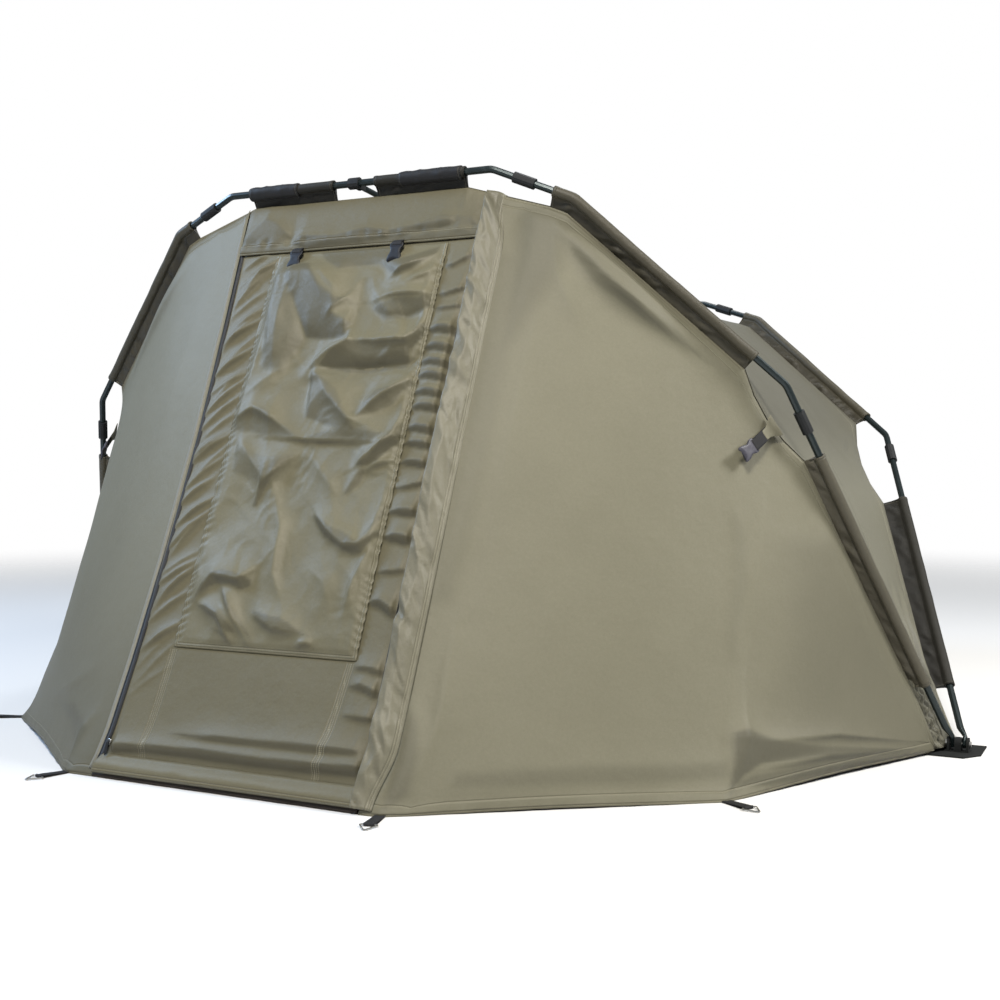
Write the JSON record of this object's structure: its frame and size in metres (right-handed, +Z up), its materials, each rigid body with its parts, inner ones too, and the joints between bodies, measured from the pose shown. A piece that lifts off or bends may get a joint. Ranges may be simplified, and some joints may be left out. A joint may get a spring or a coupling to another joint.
{
  "type": "bivvy tent",
  "caption": "Angler's bivvy shelter: two hinged arch ribs of jointed poles, a ridge tension bar, and a hung cloth shell with a zipped, folding door and window cover.",
  "frame": {"origin": "on the ground, midway between the two pivot brackets, below the pivot axis of both ribs", "axes": "+X across the door towards the storm flap's side, -Y towards the front (the door), +Z up"},
  "size_m": [3.104, 2.6882, 1.5393],
  "materials": {
    "shell_cloth": "coated olive shelter cloth, slightly shiny",
    "sleeve_cloth": "dark olive cloth",
    "hem_cloth": "dark brown coated cloth",
    "webbing": "woven black tape",
    "pole_metal": "dark green-grey satin coating",
    "black_plastic": "moulded, satin",
    "steel": "bright zinc"
  },
  "bodies": {
    "ground_base": {"pivot_bracket_left": "black_plastic", "pivot_bracket_right": "black_plastic", "pivot_bolt_left": "steel", "pivot_bolt_right": "steel", "rear_panel": "shell_cloth"},
    "front_rib": {"front_top_pole": "pole_metal", "front_shoulder_pole_left": "pole_metal", "front_shoulder_pole_right": "pole_metal", "front_leg_pole_left": "pole_metal", "front_leg_pole_right": "pole_metal", "front_ridge_collar_left": "black_plastic", "front_ridge_collar_right": "black_plastic", "front_hip_collar_left": "black_plastic", "front_hip_collar_right": "black_plastic", "front_ridge_knuckle": "black_plastic", "front_top_sleeve_left": "sleeve_cloth", "front_top_sleeve_right": "sleeve_cloth", "front_shoulder_sleeve_left": "sleeve_cloth", "front_shoulder_sleeve_right": "sleeve_cloth", "front_leg_sleeve_left": "sleeve_cloth", "front_leg_sleeve_right": "sleeve_cloth", "header_panel": "shell_cloth", "front_panel_left": "shell_cloth", "front_panel_right": "shell_cloth", "storm_flap": "shell_cloth", "zip_left": "webbing"},
    "rear_rib": {"rear_top_pole": "pole_metal", "rear_shoulder_pole_left": "pole_metal", "rear_shoulder_pole_right": "pole_metal", "rear_leg_pole_left": "pole_metal", "rear_leg_pole_right": "pole_metal", "rear_ridge_collar_left": "black_plastic", "rear_ridge_collar_right": "black_plastic", "rear_hip_collar_left": "black_plastic", "rear_hip_collar_right": "black_plastic", "rear_ridge_knuckle": "black_plastic", "rear_top_sleeve": "sleeve_cloth", "rear_shoulder_sleeve_left": "sleeve_cloth", "rear_shoulder_sleeve_right": "sleeve_cloth", "rear_leg_sleeve_left": "sleeve_cloth", "rear_leg_sleeve_right": "sleeve_cloth", "roof_panel": "shell_cloth"},
    "ridge_bar": {"tension_bar": "pole_metal"},
    "door": {"door_panel": "shell_cloth", "window_cover": "shell_cloth"},
    "door_bottom": {"door_hem": "shell_cloth"},
    "slider_left": {"zip_slider_left": "steel"},
    "slider_right": {"zip_slider_right": "steel"},
    "front_corners": {"front_peg_strap_left": "webbing", "front_peg_strap_right": "webbing", "threshold_strip": "hem_cloth"},
    "side_corners": {"side_peg_strap_left": "webbing", "side_peg_strap_right": "webbing"},
    "front_ring_left": {"front_peg_ring_left": "steel"},
    "front_ring_right": {"front_peg_ring_right": "steel"},
    "side_ring_left": {"side_peg_ring_left": "steel"},
    "side_ring_right": {"side_peg_ring_right": "steel"},
    "cover_buckle_left": {"header_buckle_left": "black_plastic"},
    "cover_buckle_right": {"header_buckle_right": "black_plastic"},
    "guy_buckle": {"flank_buckle": "black_plastic"}
  },
  "joints": [
    {"name": "fold", "type": "hinge", "parent": "ground_base", "child": "front_rib", "pos_m": [0, 0, 0.024], "axis": [-1, 0, 0], "range_deg": [0, 101.5], "deforming": ["front_panel_left", "front_panel_right", "storm_flap", "zip_left"]},
    {"name": "rear_fold", "type": "hinge", "parent": "ground_base", "child": "rear_rib", "pos_m": [0, 0, 0.024], "axis": [-1, 0, 0], "range_deg": [0, 47], "deforming": ["roof_panel", "rear_panel"]},
    {"name": "bar_swing", "type": "hinge", "parent": "front_rib", "child": "ridge_bar", "pos_m": [0, -0.58429, 1.51997], "axis": [-1, 0, 0], "range_deg": [0, 62.5]},
    {"name": "door_fold", "type": "hinge", "parent": "front_rib", "child": "door", "pos_m": [0, -0.65777, 1.34651], "axis": [1, 0, 0], "range_deg": [0, 48.5]},
    {"name": "door_roll", "type": "slide", "parent": "door", "child": "door_bottom", "axis": [0, 0.3969, 0.9179], "range_m": [0, 1.35], "deforming": ["door_panel", "window_cover"]},
    {"name": "left_zip", "type": "slide", "parent": "door", "child": "slider_left", "axis": [0, 0.3969, 0.9179], "range_m": [0, 1.35]},
    {"name": "right_zip", "type": "slide", "parent": "door", "child": "slider_right", "axis": [0, 0.3969, 0.9179], "range_m": [0, 1.35]},
    {"name": "front_corner_travel", "type": "slide", "parent": "front_rib", "child": "front_corners", "axis": [0, 0.9245, 0.3811], "range_m": [0, 1.11]},
    {"name": "side_corner_travel", "type": "slide", "parent": "front_rib", "child": "side_corners", "axis": [0, 0.9245, 0.3811], "range_m": [0, 0.67]},
    {"name": "front_ring_left_swing", "type": "hinge", "parent": "front_corners", "child": "front_ring_left", "pos_m": [-0.47597, -1.30778, 0.0041], "axis": [-0.9684, 0.2496, 0], "range_deg": [0, 110]},
    {"name": "front_ring_right_swing", "type": "hinge", "parent": "front_corners", "child": "front_ring_right", "pos_m": [0.47597, -1.30778, 0.0041], "axis": [-0.9684, -0.2496, 0], "range_deg": [0, 110]},
    {"name": "side_ring_left_swing", "type": "hinge", "parent": "side_corners", "child": "side_ring_left", "pos_m": [-1.1574, -0.81104, 0.0041], "axis": [-0.5291, 0.8486, 0], "range_deg": [0, 110]},
    {"name": "side_ring_right_swing", "type": "hinge", "parent": "side_corners", "child": "side_ring_right", "pos_m": [1.1574, -0.81104, 0.0041], "axis": [-0.5291, -0.8486, 0], "range_deg": [0, 110]},
    {"name": "cover_buckle_left_lift", "type": "hinge", "parent": "front_rib", "child": "cover_buckle_left", "pos_m": [-0.155, -0.65488, 1.35724], "axis": [-1, 0, 0], "range_deg": [0, 80]},
    {"name": "cover_buckle_right_lift", "type": "hinge", "parent": "front_rib", "child": "cover_buckle_right", "pos_m": [0.155, -0.65488, 1.35724], "axis": [-1, 0, 0], "range_deg": [0, 80]},
    {"name": "guy_buckle_lift", "type": "hinge", "parent": "front_rib", "child": "guy_buckle", "pos_m": [1.08466, -0.3654, 0.85914], "axis": [-0.5035, -0.4809, 0.7178], "range_deg": [0, 80]}
  ],
  "couplings": [
    {"joint": "rear_fold", "follows": "fold", "ratio": 0.46},
    {"joint": "bar_swing", "follows": "fold", "ratio": 0.615},
    {"joint": "door_fold", "follows": "fold", "ratio": 0.4755},
    {"joint": "front_corner_travel", "follows": "fold", "m_per_rad": 0.62},
    {"joint": "side_corner_travel", "follows": "fold", "m_per_rad": 0.375},
    {"joint": "left_zip", "follows": "door_roll", "ratio": 1},
    {"joint": "right_zip", "follows": "door_roll", "ratio": 1}
  ]
}
